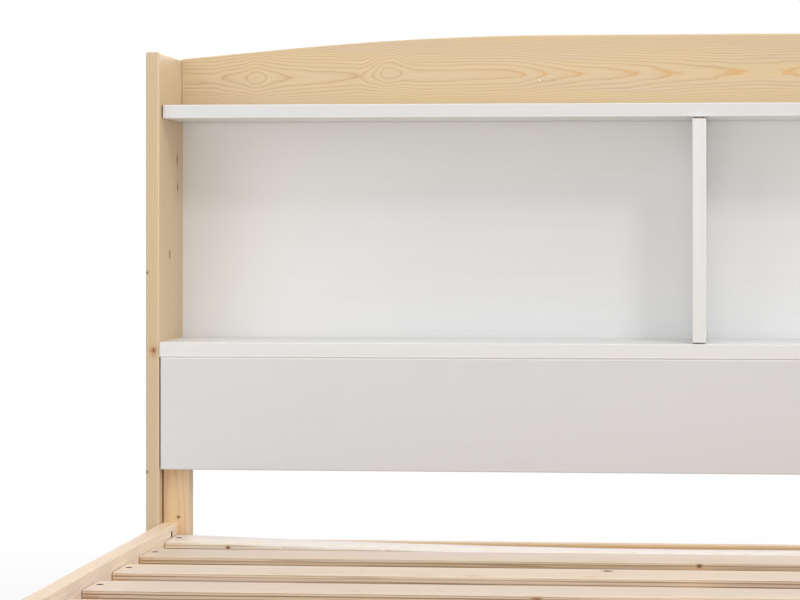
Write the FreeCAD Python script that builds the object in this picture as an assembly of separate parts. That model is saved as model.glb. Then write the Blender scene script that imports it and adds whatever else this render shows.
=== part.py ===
import FreeCAD, Part

import math
import os

# Storage bed with a bookcase headboard, in millimetres.
# X runs across the bed, +Y points to the headboard, and the floor is Z = 0.
# The origin lies under the middle of the whole bed.

# Mattress and the room it needs in the frame.
mattress_width = 1372.0
mattress_length = 1905.0
mattress_side_play = 6.0
mattress_end_play = 10.0

# Headboard boards. The compartments take the height that the lower panel and the crest leave.
panel_thickness = 18.0
panel_depth = 166.0
panel_height = 970.0
panel_ease = 2.5
shelf_thickness = 18.0
middle_shelf_thickness = 19.5
shelf_ease = 1.6
top_shelf_setback = 14.0
lower_panel_gap = 88.0
lower_panel_height = 149.0
lower_panel_thickness = 18.0
lower_panel_setback = 1.0
divider_thickness = 18.0
divider_setback = 3.0
divider_top_gap = 2.8
divider_foot_gap = 2.0
back_panel_thickness = 9.0
back_panel_inset = 11.0
back_panel_groove = 6.0
groove_play = 0.15
joint_gap = 1.4

# Crest rail: level in the middle, a long arc at each shoulder, a straight fall to the ends.
crest_thickness = 18.0
crest_end_height = 69.0
crest_lead = 5.0
crest_rise = 30.4
crest_knee = 373.0
crest_radius = 4200.0
crest_end_gap = 0.6
crest_ease = 1.6

# Posts and rails.
post_width = 36.0
post_ease = 2.5
head_post_ease = 1.5
head_post_depth = 28.0
head_post_gap = 1.5
foot_post_depth = 40.0
foot_post_rise = 10.0
rail_thickness = 20.0
rail_height = 140.0
rail_ease = 2.0
rail_lip = 16.0
foot_rail_thickness = 20.0
foot_rail_setback = 4.0
cross_rail_thickness = 20.0
cross_rail_height = 80.0
cross_rail_setback = 2.0
cross_rail_drop = 7.5

# Slats, the cleats that carry their ends, and the screws that hold them.
slat_top = 330.0
slat_count = 14
slat_width = 76.0
slat_thickness = 18.0
slat_ease = 2.5
slat_end_play = 1.0
first_slat_gap = 1.0
last_slat_gap = 28.0
first_slat_sag = 12.0
cleat_width = 20.0
cleat_height = 30.0
screw_diameter = 4.0
screw_head_diameter = 8.5
screw_head_height = 2.6
screw_length = 34.0
screw_off_middle = 7.0
screw_play = 0.1

# Beam under the middle of the slats, its hangers and its legs.
beam_width = 40.0
beam_height = 60.0
beam_notch_length = 96.0
beam_notch_room = 2.0
hanger_gauge = 2.5
hanger_depth = 42.0
hanger_height = 44.0
hanger_flange = 24.0
hanger_play = 0.2
leg_count = 3
leg_width = 40.0
leg_ease = 2.5

# Floor glides, pressed in under everything that stands on the floor.
glide_diameter = 22.0
panel_glide_diameter = 16.0
glide_height = 4.0
glide_inset = 30.0
glide_ease = 1.5

# Bolts into barrel nuts, for the joints that come apart.
bolt_diameter = 6.0
bolt_head_diameter = 16.0
bolt_head_height = 2.5
bolt_play = 0.5
bolt_past_nut = 9.0
socket_width = 4.0
socket_depth = 1.6
nut_diameter = 10.0
nut_length = 16.6
nut_sink = 0.4
nut_from_end = 31.0
nut_play = 0.2
upper_bolt_drop = 12.0
lower_bolt_drop = 98.0
foot_bolt_drops = (36.0, 72.0)

# Dowels, for the joints that are glued up.
dowel_diameter = 8.0
dowel_play = 0.12
dowel_in_panel = 11.0
dowel_in_board = 19.0
dowel_inset = 24.0
divider_dowel_reach = 10.0

# Roll-out drawers under the right side of the bed.
drawer_names = ("head", "foot")
drawer_gap = 4.0
front_thickness = 18.0
front_floor_gap = 14.0
front_ease = 2.0
front_overlap = 44.0
grip_width = 120.0
grip_depth = 34.0
grip_radius = 16.0
box_leg_room = 54.0
box_top_drop = 46.0
box_floor_gap = 8.0
side_thickness = 15.0
box_back_thickness = 15.0
box_bottom_thickness = 6.0
box_bottom_rise = 20.0
box_groove = 5.0
box_ease = 1.5
wheel_radius = 20.0
wheel_width = 14.0
wheel_ease = 2.5
wheel_recess = 2.0
wheel_rim = 5.0
wheel_hub_diameter = 16.0
wheel_side_play = 0.5
wheel_bore_play = 0.1
wheel_inset = 62.0
axle_diameter = 8.0
axle_head_diameter = 14.0
axle_head_height = 3.0
axle_in_side = 12.0

# Every cut runs this far past the face it leaves by.
overrun = 5.0

# An edge counts as lying along an axis when this share of its direction does.
along_share = 0.99

# Places that several pieces share.
bay_half = mattress_width / 2 + mattress_side_play
rail_outer = bay_half + rail_thickness
panel_inner = rail_outer
panel_outer = panel_inner + panel_thickness
bay_length = mattress_length + mattress_end_play
overall_length = panel_depth + bay_length + foot_post_depth
head_back = overall_length / 2
head_front = head_back - panel_depth
foot_inner = head_front - bay_length
foot_outer = foot_inner - foot_post_depth
back_panel_front = head_back - back_panel_inset - back_panel_thickness
crest_front = back_panel_front - crest_lead
crest_back = crest_front + crest_thickness
post_front = head_front + lower_panel_setback + lower_panel_thickness
post_back = post_front + head_post_depth
post_inner = rail_outer - post_width
top_shelf_height = panel_height - crest_end_height
top_shelf_under = top_shelf_height - shelf_thickness
lower_panel_bottom = slat_top + lower_panel_gap
middle_shelf_under = lower_panel_bottom + lower_panel_height
middle_shelf_height = middle_shelf_under + middle_shelf_thickness
slat_under = slat_top - slat_thickness
rail_top = slat_top + rail_lip
rail_bottom = rail_top - rail_height
rail_middle = rail_outer - rail_thickness / 2
beam_bottom = slat_under - beam_height
cross_rail_front = post_front + cross_rail_setback
cross_rail_top = slat_top - cross_rail_drop
foot_rail_back = foot_outer + foot_rail_setback + foot_rail_thickness
upper_bolt = rail_top - upper_bolt_drop
lower_bolt = rail_top - lower_bolt_drop

along_x = FreeCAD.Vector(1, 0, 0)
along_y = FreeCAD.Vector(0, 1, 0)
along_z = FreeCAD.Vector(0, 0, 1)

nodes = {}


def board(x, y, z):
    """A plank between the pairs of planes x, y and z."""
    corner = FreeCAD.Vector(x[0], y[0], z[0])
    return Part.makeBox(x[1] - x[0], y[1] - y[0], z[1] - z[0], corner)


def eased(solid, radius, *ways):
    """The solid with its edges along the given ways, or nearly along them, rounded over."""
    picked = []
    for edge in solid.Edges:
        way = edge.tangentAt(edge.FirstParameter)
        if any(abs(way.dot(axis)) > along_share for axis in ways):
            picked.append(edge)
    return solid.makeFillet(radius, picked)


def rod(start, way, length, diameter):
    """A round bar from a point along a way."""
    return Part.makeCylinder(diameter / 2, length, start, way)


def cut(solid, *tools):
    return solid.cut(Part.makeCompound(list(tools)))


def mirrored(shape):
    """The same shape on the other side of the bed."""
    return shape.mirror(FreeCAD.Vector(0, 0, 0), along_x)


def both_sides(shapes):
    return list(shapes) + [mirrored(shape) for shape in shapes]


def dowel(middle, way, behind, ahead):
    """A dowel that reaches behind and ahead of a joint, and the hole that it is glued into."""
    start = middle - way * behind
    pin = rod(start, way, behind + ahead, dowel_diameter)
    hole_start = start - way * dowel_play
    hole = rod(hole_start, way, behind + ahead + 2 * dowel_play, dowel_diameter + 2 * dowel_play)
    return pin, hole


def end_dowels(y_places, z_places):
    """Dowels from a board's right end into the right side panel, at each place."""
    joint = panel_inner - joint_gap / 2
    reach = joint_gap / 2
    made = []
    for y in y_places:
        for z in z_places:
            middle = FreeCAD.Vector(joint, y, z)
            made.append(dowel(middle, along_x, dowel_in_board, dowel_in_panel + reach))
    return made


def pins(pairs):
    return [pin for pin, hole in pairs]


def holes(pairs):
    return [hole for pin, hole in pairs]


def crest_face():
    """The crest's front outline: level, arc, straight fall, down both ends and back along the shelf."""
    end = panel_inner - crest_end_gap
    peak = panel_height + crest_rise
    fall = math.atan2(crest_rise, end - crest_knee)
    tangent = crest_radius * math.tan(fall / 2)
    level_end = crest_knee - tangent
    arc_end = crest_knee + tangent * math.cos(fall)
    arc_end_z = peak - tangent * math.sin(fall)
    arc_middle = level_end + crest_radius * math.sin(fall / 2)
    arc_middle_z = peak - crest_radius * (1 - math.cos(fall / 2))

    def at(x, z):
        return FreeCAD.Vector(x, crest_front, z)

    edges = [
        Part.LineSegment(at(-level_end, peak), at(level_end, peak)),
        Part.Arc(at(level_end, peak), at(arc_middle, arc_middle_z), at(arc_end, arc_end_z)),
        Part.LineSegment(at(arc_end, arc_end_z), at(end, panel_height)),
        Part.LineSegment(at(end, panel_height), at(end, top_shelf_height)),
        Part.LineSegment(at(end, top_shelf_height), at(-end, top_shelf_height)),
        Part.LineSegment(at(-end, top_shelf_height), at(-end, panel_height)),
        Part.LineSegment(at(-end, panel_height), at(-arc_end, arc_end_z)),
        Part.Arc(at(-arc_end, arc_end_z), at(-arc_middle, arc_middle_z), at(-level_end, peak)),
    ]
    return Part.Face(Part.Wire([edge.toShape() for edge in edges]))


def headboard():
    """The bookcase: two side panels with four boards, a divider, a back and a crest between them."""
    shelf_end = panel_inner - joint_gap
    across = (-shelf_end, shelf_end)
    top_shelf_front = head_front + top_shelf_setback
    lower_front = head_front + lower_panel_setback
    lower_back = lower_front + lower_panel_thickness
    shelf_ys = (top_shelf_front + dowel_inset, crest_back - dowel_inset)
    middle_ys = (head_front + dowel_inset, back_panel_front - dowel_inset)
    top_middle = (top_shelf_height + top_shelf_under) / 2
    middle_middle = (middle_shelf_height + middle_shelf_under) / 2
    crest_y = (crest_front + crest_back) / 2
    lower_y = (lower_front + lower_back) / 2

    top_pegs = end_dowels(shelf_ys, (top_middle,))
    middle_pegs = end_dowels(middle_ys, (middle_middle,))
    crest_pegs = end_dowels((crest_y,), (top_shelf_height + dowel_inset, panel_height - dowel_inset))
    lower_zs = (lower_panel_bottom + dowel_inset, middle_shelf_under - dowel_inset)
    lower_pegs = end_dowels((lower_y,), lower_zs)
    panel_pegs = top_pegs + middle_pegs + crest_pegs + lower_pegs

    panel = board((panel_inner, panel_outer), (head_front, head_back), (glide_height, panel_height))
    panel = eased(panel, panel_ease, along_z, along_y)
    groove_x = (panel_inner - overrun, panel_inner + back_panel_groove + groove_play)
    groove_y = (back_panel_front - groove_play, back_panel_front + back_panel_thickness + groove_play)
    groove_z = (lower_panel_bottom - groove_play, top_shelf_under + back_panel_groove + groove_play)
    panel = cut(panel, board(groove_x, groove_y, groove_z), *holes(panel_pegs))
    nodes["right_side_panel"] = panel
    nodes["left_side_panel"] = mirrored(panel)

    divider_y = (head_front + divider_setback, back_panel_front)
    divider_z = (middle_shelf_height + divider_foot_gap, top_shelf_under - divider_top_gap)
    divider_half = divider_thickness / 2
    divider_pegs = []
    for y in (divider_y[0] + dowel_inset, divider_y[1] - dowel_inset):
        for z in (middle_shelf_height, top_shelf_under):
            middle = FreeCAD.Vector(0, y, z)
            divider_pegs.append(dowel(middle, along_z, divider_dowel_reach, divider_dowel_reach))
    divider = board((-divider_half, divider_half), divider_y, divider_z)
    divider = eased(divider, shelf_ease, along_z)
    nodes["centre_divider"] = cut(divider, *holes(divider_pegs))

    shelf = board(across, (top_shelf_front, crest_back), (top_shelf_under, top_shelf_height))
    shelf = eased(shelf, shelf_ease, along_x, along_z)
    panel_slot = board((-panel_outer, panel_outer), groove_y, (top_shelf_under - overrun, groove_z[1]))
    shelf = cut(shelf, panel_slot, *both_sides(holes(top_pegs)), *holes(divider_pegs))
    nodes["top_shelf"] = shelf

    tight = (-panel_inner, panel_inner)
    shelf = board(tight, (head_front, back_panel_front), (middle_shelf_under, middle_shelf_height))
    shelf = eased(shelf, shelf_ease, along_x, along_z)
    nodes["middle_shelf"] = cut(shelf, *both_sides(holes(middle_pegs)), *holes(divider_pegs))

    back_x = panel_inner + back_panel_groove
    back_z = (lower_panel_bottom, top_shelf_under + back_panel_groove)
    back_y = (back_panel_front, back_panel_front + back_panel_thickness)
    nodes["back_panel"] = board((-back_x, back_x), back_y, back_z)

    lower = board(across, (lower_front, lower_back), (lower_panel_bottom, middle_shelf_under))
    lower = eased(lower, shelf_ease, along_x, along_z)
    nodes["lower_front_panel"] = cut(lower, *both_sides(holes(lower_pegs)))

    crest = crest_face().extrude(along_y * crest_thickness)
    crest = eased(crest, crest_ease, along_x)
    nodes["crest_rail"] = cut(crest, *both_sides(holes(crest_pegs)))
    return both_sides(pins(panel_pegs)) + pins(divider_pegs)


def bolt(head_seat, way, length):
    """A flat-headed bolt with a hexagon socket, its head on the seat."""
    shank = rod(head_seat, way, length, bolt_diameter)
    head_start = head_seat - way * bolt_head_height
    head = rod(head_start, way, bolt_head_height, bolt_head_diameter)
    corner = socket_width / math.sqrt(3)
    turn = FreeCAD.Rotation(along_z, way)
    points = []
    for step in range(7):
        angle = math.radians(60 * step)
        flat = FreeCAD.Vector(corner * math.cos(angle), corner * math.sin(angle), 0)
        points.append(head_start + turn.multVec(flat))
    socket = Part.Face(Part.makePolygon(points)).extrude(way * socket_depth)
    return shank.fuse(head).removeSplitter().cut(socket)


def bolted(head_seat, way, post_depth, nut_way):
    """A bolt through a post, the barrel nut in the rail beyond it, and the hole for each."""
    joint = head_seat + way * post_depth
    centre = joint + way * nut_from_end
    piece = bolt(head_seat, way, post_depth + nut_from_end + bolt_past_nut)
    nut_start = centre + nut_way * (rail_thickness / 2 - nut_sink - nut_length)
    nut = rod(nut_start, nut_way, nut_length, nut_diameter)
    nut = nut.cut(rod(centre - way * nut_diameter, way, 2 * nut_diameter, bolt_diameter + bolt_play))
    hole_length = post_depth + nut_from_end + bolt_past_nut + 2 * overrun
    shank_hole = rod(head_seat - way * overrun, way, hole_length, bolt_diameter + 2 * bolt_play)
    nut_hole_length = nut_length + overrun + rail_thickness
    nut_hole_start = nut_start - nut_way * nut_play
    nut_hole = rod(nut_hole_start, nut_way, nut_hole_length, nut_diameter + 2 * nut_play)
    return piece, nut, shank_hole, nut_hole


def posts_and_rails():
    """Head and foot posts with the rails bolted between them, the cross rail and the slat cleats."""
    rail = board((bay_half, rail_outer), (foot_inner, post_front), (rail_bottom, rail_top))
    rail = eased(rail, rail_ease, along_y)
    head_post_x = (post_inner, rail_outer - head_post_gap)
    head_post = board(head_post_x, (post_front, post_back), (glide_height, middle_shelf_under))
    head_post = eased(head_post, head_post_ease, along_z)
    foot_top = rail_top + foot_post_rise
    foot_post = board((post_inner, rail_outer), (foot_outer, foot_inner), (glide_height, foot_top))
    foot_post = eased(foot_post, post_ease, along_z)
    top_edges = [edge for edge in foot_post.Edges if edge.BoundBox.ZMin > foot_top - post_ease]
    foot_post = foot_post.makeFillet(post_ease, top_edges)
    foot_rail_y = (foot_outer + foot_rail_setback, foot_rail_back)
    foot_rail = board((-post_inner, post_inner), foot_rail_y, (rail_bottom, rail_top))
    foot_rail = eased(foot_rail, rail_ease, along_x)

    counterbore_diameter = bolt_head_diameter + 2 * bolt_play
    counterbore_depth = bolt_head_height + bolt_play
    bolts = []
    nuts = []
    for z in (upper_bolt, lower_bolt):
        seat = FreeCAD.Vector(rail_middle, post_back, z)
        piece, nut, shank_hole, nut_hole = bolted(seat, -along_y, head_post_depth, -along_x)
        bolts.append(piece)
        nuts.append(nut)
        head_post = cut(head_post, shank_hole)
        rail = cut(rail, shank_hole, nut_hole)

        seat = FreeCAD.Vector(rail_middle, foot_outer + counterbore_depth, z)
        run = foot_post_depth - counterbore_depth
        piece, nut, shank_hole, nut_hole = bolted(seat, along_y, run, -along_x)
        bolts.append(piece)
        nuts.append(nut)
        pocket_start = seat - along_y * (counterbore_depth + overrun)
        pocket = rod(pocket_start, along_y, counterbore_depth + overrun, counterbore_diameter)
        foot_post = cut(foot_post, shank_hole, pocket)
        rail = cut(rail, shank_hole, nut_hole)

    foot_bolt_y = (foot_rail_y[0] + foot_rail_y[1]) / 2
    for drop in foot_bolt_drops:
        seat = FreeCAD.Vector(rail_outer - counterbore_depth, foot_bolt_y, rail_top - drop)
        run = post_width - counterbore_depth
        piece, nut, shank_hole, nut_hole = bolted(seat, -along_x, run, along_y)
        bolts.append(piece)
        nuts.append(nut)
        pocket_start = seat + along_x * (counterbore_depth + overrun)
        pocket = rod(pocket_start, -along_x, counterbore_depth + overrun, counterbore_diameter)
        foot_post = cut(foot_post, shank_hole, pocket)
        foot_rail = cut(foot_rail, *both_sides([shank_hole, nut_hole]))

    cross_y = (cross_rail_front, cross_rail_front + cross_rail_thickness)
    cross_z = (cross_rail_top - cross_rail_height, cross_rail_top)
    cross = board((-post_inner, post_inner), cross_y, cross_z)
    cross = eased(cross, rail_ease, along_x)
    cross_pegs = []
    for z in (cross_z[0] + dowel_inset, cross_z[1] - dowel_inset):
        middle = FreeCAD.Vector(post_inner, (cross_y[0] + cross_y[1]) / 2, z)
        cross_pegs.append(dowel(middle, along_x, dowel_in_board, dowel_in_board))
    cross = cut(cross, *both_sides(holes(cross_pegs)))
    head_post = cut(head_post, *holes(cross_pegs))

    nodes["right_head_post"] = head_post
    nodes["left_head_post"] = mirrored(head_post)
    nodes["right_foot_post"] = foot_post
    nodes["left_foot_post"] = mirrored(foot_post)
    nodes["right_side_rail"] = rail
    nodes["left_side_rail"] = mirrored(rail)
    nodes["head_cross_rail"] = cross
    nodes["foot_rail"] = foot_rail
    nodes["bed_bolts"] = Part.makeCompound(both_sides(bolts))
    nodes["barrel_nuts"] = Part.makeCompound(both_sides(nuts))
    return both_sides(pins(cross_pegs))


def slat_places():
    """The Y of each slat's middle, from the head to the foot."""
    first = post_front - first_slat_gap - slat_width / 2
    last = foot_inner + last_slat_gap + slat_width / 2
    step = (first - last) / (slat_count - 1)
    return [first - step * place for place in range(slat_count)]


def screw_outline(grow):
    """Half of a countersunk screw's profile, head up, around Z, grown on every side."""
    head = screw_head_diameter / 2 + grow
    shank = screw_diameter / 2 + grow
    low = -screw_length - grow
    points = [
        FreeCAD.Vector(0, 0, 0),
        FreeCAD.Vector(head, 0, 0),
        FreeCAD.Vector(shank, 0, -screw_head_height),
        FreeCAD.Vector(shank, 0, low + shank),
        FreeCAD.Vector(0, 0, low),
        FreeCAD.Vector(0, 0, 0),
    ]
    return Part.Face(Part.makePolygon(points)).revolve(FreeCAD.Vector(0, 0, 0), along_z, 360)


def slats_and_cleats():
    """The slats in a row on the cleats, each held by a screw at both ends."""
    half = bay_half - slat_end_play
    screw_x = bay_half - cleat_width / 2
    screws = []
    screw_holes = []
    for number, y in enumerate(slat_places(), start=1):
        low = y - slat_width / 2
        high = y + slat_width / 2
        if number == 1:
            slat = bowed_slat(half, low)
        else:
            slat = eased(board((-half, half), (low, high), (slat_under, slat_top)), slat_ease, along_x)
        for x in (-screw_x, screw_x):
            place = FreeCAD.Vector(x, y + screw_off_middle, slat_top)
            screw = screw_outline(0)
            screw.translate(place)
            hole = screw_outline(screw_play)
            hole.translate(place)
            screws.append(screw)
            screw_holes.append(hole)
            slat = cut(slat, hole)
        nodes[f"slat_{number:02d}"] = slat
    nodes["slat_screws"] = Part.makeCompound(screws)

    cleat_z = (slat_under - cleat_height, slat_under)
    cleat = board((bay_half - cleat_width, bay_half), (foot_inner, post_front), cleat_z)
    right_holes = [hole for hole in screw_holes if hole.CenterOfMass.x > 0]
    left_holes = [hole for hole in screw_holes if hole.CenterOfMass.x < 0]
    nodes["right_slat_cleat"] = cut(cleat, *right_holes)
    nodes["left_slat_cleat"] = cut(mirrored(cleat), *left_holes)


def bowed_slat(half, low):
    """The first slat: nothing carries its middle, so it hangs in a shallow arc between the flat ends."""
    seat = bay_half - cleat_width

    def side(z):
        left = FreeCAD.Vector(-seat, low, z)
        right = FreeCAD.Vector(seat, low, z)
        return Part.Arc(left, FreeCAD.Vector(0, low, z - first_slat_sag), right)

    def level(x0, x1, z):
        return Part.LineSegment(FreeCAD.Vector(x0, low, z), FreeCAD.Vector(x1, low, z))

    def end(x):
        return Part.LineSegment(FreeCAD.Vector(x, low, slat_under), FreeCAD.Vector(x, low, slat_top))

    edges = [
        level(-half, -seat, slat_top),
        side(slat_top),
        level(seat, half, slat_top),
        end(half),
        level(half, seat, slat_under),
        side(slat_under),
        level(-seat, -half, slat_under),
        end(-half),
    ]
    outline = Part.Wire([edge.toShape() for edge in edges])
    return eased(Part.Face(outline).extrude(along_y * slat_width), slat_ease, along_x)


def beam_and_legs():
    """The beam that carries the slats along the middle, in a hanger at each end and on three legs."""
    half = beam_width / 2
    beam_y = (foot_rail_back, cross_rail_front)
    beam = board((-half, half), beam_y, (beam_bottom, slat_under))
    notch_z = (slat_under - first_slat_sag - beam_notch_room, slat_under + overrun)
    notch_y = (cross_rail_front - beam_notch_length, cross_rail_front + overrun)
    beam = cut(beam, board((-half - overrun, half + overrun), notch_y, notch_z))
    nodes["centre_beam"] = beam

    inside = half + hanger_play
    outside = inside + hanger_gauge
    floor_top = beam_bottom
    hangers = []
    for face, way in ((cross_rail_front, -1), (foot_rail_back, 1)):
        depth = tuple(sorted((face, face + way * hanger_depth)))
        flange = tuple(sorted((face, face + way * hanger_gauge)))
        tall = (floor_top - hanger_gauge, floor_top + hanger_height)
        inside_y = (depth[0] - overrun, depth[1] + overrun)
        inside_z = (floor_top, tall[1] + overrun)
        cradle = board((-outside, outside), depth, tall)
        cradle = cut(cradle, board((-inside, inside), inside_y, inside_z))
        wing = board((outside, outside + hanger_flange), flange, tall)
        hangers.append(cradle.fuse([wing, mirrored(wing)]).removeSplitter())
    nodes["beam_hangers"] = Part.makeCompound(hangers)

    step = (beam_y[1] - beam_y[0]) / (leg_count + 1)
    places = [beam_y[1] - step * number for number in range(1, leg_count + 1)]
    for number, y in enumerate(places, start=1):
        square = leg_width / 2
        leg = board((-square, square), (y - square, y + square), (glide_height, beam_bottom))
        nodes[f"centre_leg_{number}"] = eased(leg, leg_ease, along_z)
    return places


def floor_glides(leg_places):
    """A round glide under each end of the side panels and under every post and leg."""
    def glide(x, y, diameter):
        disc = Part.makeCylinder(diameter / 2, glide_height, FreeCAD.Vector(x, y, 0), along_z)
        rim = [edge for edge in disc.Edges if edge.BoundBox.ZMax < glide_height / 2]
        return disc.makeChamfer(glide_ease, rim)

    panel_x = (panel_inner + panel_outer) / 2
    post_x = (post_inner + rail_outer) / 2
    panel_ys = (head_front + glide_inset, head_back - glide_inset)
    right = [glide(panel_x, y, panel_glide_diameter) for y in panel_ys]
    right.append(glide(post_x, (post_front + post_back) / 2, glide_diameter))
    right.append(glide(post_x, (foot_outer + foot_inner) / 2, glide_diameter))
    middle = [glide(0, y, glide_diameter) for y in leg_places]
    nodes["floor_glides"] = Part.makeCompound(both_sides(right) + middle)


def grip_cut(y, top):
    """The finger scoop in the top edge of a drawer front: the lower half of a rounded slot."""
    half = grip_width / 2
    through = (rail_outer - front_thickness - overrun, rail_outer + overrun)
    slot = board(through, (y - half, y + half), (top - grip_depth, top + grip_depth))
    return eased(slot, grip_radius, along_x)


def wheel():
    """A plastic wheel around Y with dished faces and a hub, its bore clear of the axle."""
    half = wheel_width / 2
    body = Part.makeCylinder(wheel_radius, wheel_width, FreeCAD.Vector(0, -half, 0), along_y)
    rims = [edge for edge in body.Edges if isinstance(edge.Curve, Part.Circle)]
    body = body.makeChamfer(wheel_ease, rims)
    for y, way in ((-half, along_y), (half, -along_y)):
        start = FreeCAD.Vector(0, y, 0)
        dish = rod(start, way, wheel_recess, 2 * (wheel_radius - wheel_rim))
        body = body.cut(dish.cut(rod(start, way, wheel_recess, wheel_hub_diameter)))
    bore = axle_diameter + 2 * wheel_bore_play
    return body.cut(rod(FreeCAD.Vector(0, -wheel_width, 0), along_y, 2 * wheel_width, bore))


def axle(way):
    """A shoulder screw along a way: its thread in the drawer side, its head outside the wheel."""
    run = wheel_width + 2 * wheel_side_play
    origin = FreeCAD.Vector(0, 0, 0)
    shank = rod(origin - way * axle_in_side, way, axle_in_side + run, axle_diameter)
    return shank.fuse(rod(origin + way * run, way, axle_head_height, axle_head_diameter)).removeSplitter()


def drawer(name, low, high):
    """One drawer on four wheels between two places along the bed, its front flush with the side rail."""
    middle = (low + high) / 2
    front_x = (rail_outer - front_thickness, rail_outer)
    front_top = rail_bottom - drawer_gap
    box_x = (leg_width / 2 + box_leg_room, front_x[0])
    box_y = (low + front_overlap, high - front_overlap)
    box_z = (box_floor_gap, front_top - box_top_drop)
    bottom_z = (box_z[0] + box_bottom_rise, box_z[0] + box_bottom_rise + box_bottom_thickness)
    inner_y = (box_y[0] + side_thickness, box_y[1] - side_thickness)
    bottom_x = (box_x[0] + box_back_thickness - box_groove, front_x[0] + box_groove)
    bottom_y = (inner_y[0] - box_groove, inner_y[1] + box_groove)
    bottom = board(bottom_x, bottom_y, bottom_z)

    def grown(low_high):
        return (low_high[0] - groove_play, low_high[1] + groove_play)

    groove = board(grown(bottom_x), grown(bottom_y), grown(bottom_z))
    front = board(front_x, (low, high), (front_floor_gap, front_top))
    front = eased(front, front_ease, along_y, along_z)
    nodes[f"{name}_drawer_front"] = cut(front, grip_cut(middle, front_top), groove)
    nodes[f"{name}_drawer_bottom"] = bottom
    back = board((box_x[0], box_x[0] + box_back_thickness), inner_y, box_z)
    nodes[f"{name}_drawer_back"] = cut(eased(back, box_ease, along_y), groove)

    wheel_xs = {"rear": box_x[0] + wheel_inset, "front": box_x[1] - wheel_inset}
    sides = {"left": (box_y[0], inner_y[0], -along_y), "right": (inner_y[1], box_y[1], along_y)}
    axles = []
    pairs = {place: [] for place in wheel_xs}
    for side_name, (y0, y1, outward) in sides.items():
        side = cut(eased(board(box_x, (y0, y1), box_z), box_ease, along_x), groove)
        outer_y = y0 if outward.y < 0 else y1
        for place, x in wheel_xs.items():
            seat = FreeCAD.Vector(x, outer_y, wheel_radius)
            pin = axle(outward)
            pin.translate(seat)
            axles.append(pin)
            side = cut(side, rod(seat - outward * axle_in_side, outward, axle_in_side, axle_diameter))
            roller = wheel()
            roller.translate(seat + outward * (wheel_side_play + wheel_width / 2))
            pairs[place].append(roller)
        nodes[f"{name}_drawer_{side_name}_side"] = side
    nodes[f"{name}_drawer_axles"] = Part.makeCompound(axles)
    for place, rollers in pairs.items():
        nodes[f"{name}_drawer_{place}_wheels"] = Part.makeCompound(rollers)


def drawers():
    """The drawers side by side in the length between the foot post and the headboard."""
    count = len(drawer_names)
    length = (bay_length - drawer_gap * (count + 1)) / count
    for number, name in enumerate(drawer_names):
        high = head_front - drawer_gap - number * (length + drawer_gap)
        drawer(name, high - length, high)


dowels = headboard()
dowels += posts_and_rails()
nodes["dowels"] = Part.makeCompound(dowels)
slats_and_cleats()
floor_glides(beam_and_legs())
drawers()

os.makedirs("parts", exist_ok=True)
for name, shape in nodes.items():
    shape.exportStep(f"parts/{name}.step")
print(len(nodes), "nodes")
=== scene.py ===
import math
import random

import bmesh
import bpy
from mathutils import Matrix, Vector


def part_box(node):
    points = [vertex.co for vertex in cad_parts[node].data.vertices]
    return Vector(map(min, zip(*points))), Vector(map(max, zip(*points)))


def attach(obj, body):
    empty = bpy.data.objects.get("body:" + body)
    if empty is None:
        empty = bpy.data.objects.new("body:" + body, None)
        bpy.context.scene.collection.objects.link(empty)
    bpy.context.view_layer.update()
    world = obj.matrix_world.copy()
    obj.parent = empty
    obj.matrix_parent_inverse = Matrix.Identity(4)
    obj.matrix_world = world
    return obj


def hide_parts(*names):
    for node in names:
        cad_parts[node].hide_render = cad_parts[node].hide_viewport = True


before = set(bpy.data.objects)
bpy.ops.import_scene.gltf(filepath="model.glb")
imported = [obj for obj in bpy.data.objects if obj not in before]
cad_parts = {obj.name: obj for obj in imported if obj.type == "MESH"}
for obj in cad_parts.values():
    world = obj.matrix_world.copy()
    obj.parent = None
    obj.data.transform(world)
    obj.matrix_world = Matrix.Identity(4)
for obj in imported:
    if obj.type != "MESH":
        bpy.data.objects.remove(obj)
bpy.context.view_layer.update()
bpy.ops.object.select_all(action="DESELECT")


# Side panels of the headboard.
# Upright boards of clear-lacquered pine that stand on the floor and close the headboard's ends.
# The grain runs up the board, small knots show here and there, and the arrises are sanded round.
LACQUERED_PALE = (0.653, 0.497, 0.304)
LACQUERED_LATE = (0.533, 0.359, 0.179)
KNOT_BROWN = (0.150, 0.066, 0.026)
KNOT_RED = (0.420, 0.185, 0.075)
RUBBED_AND_HIGHLIT_PALE = (0.860, 0.740, 0.560)
YELLOW_CAST = (1.020, 1.015, 0.965)
PINK_CAST = (0.990, 0.985, 1.045)
UNCHANGED = (1.0, 1.0, 1.0)
arris_width = 0.004
arris_share = 0.22
knot_layers = ((2.6, 0.8, 0.5), (1.5, 0.7, 0.8), (0.95, 0.4, 0.9), (0.5, 0.1, 0.85))


def add(tree, kind, sockets=None, **settings):
    """A shader node with its settings made and its sockets filled by values or by links."""
    node = tree.nodes.new("ShaderNode" + kind)
    for name, setting in settings.items():
        setattr(node, name, setting)
    for key, source in (sockets or {}).items():
        if isinstance(source, bpy.types.NodeSocket):
            tree.links.new(source, node.inputs[key])
        else:
            node.inputs[key].default_value = source
    return node


def calc(tree, operation, *terms):
    """One step of arithmetic on numbers or sockets."""
    return add(tree, "Math", dict(enumerate(terms)), operation=operation).outputs[0]


def calc_vector(tree, operation, *terms):
    """One step of arithmetic on points, colours or sockets."""
    return add(tree, "VectorMath", dict(enumerate(terms)), operation=operation).outputs[0]


def fade(tree, value, start, end, first=0.0, last=1.0):
    """A smooth change from first to last while the value goes from start to end."""
    sockets = {"Value": value, "From Min": start, "From Max": end, "To Min": first, "To Max": last}
    return add(tree, "MapRange", sockets, interpolation_type="SMOOTHSTEP").outputs[0]


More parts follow.
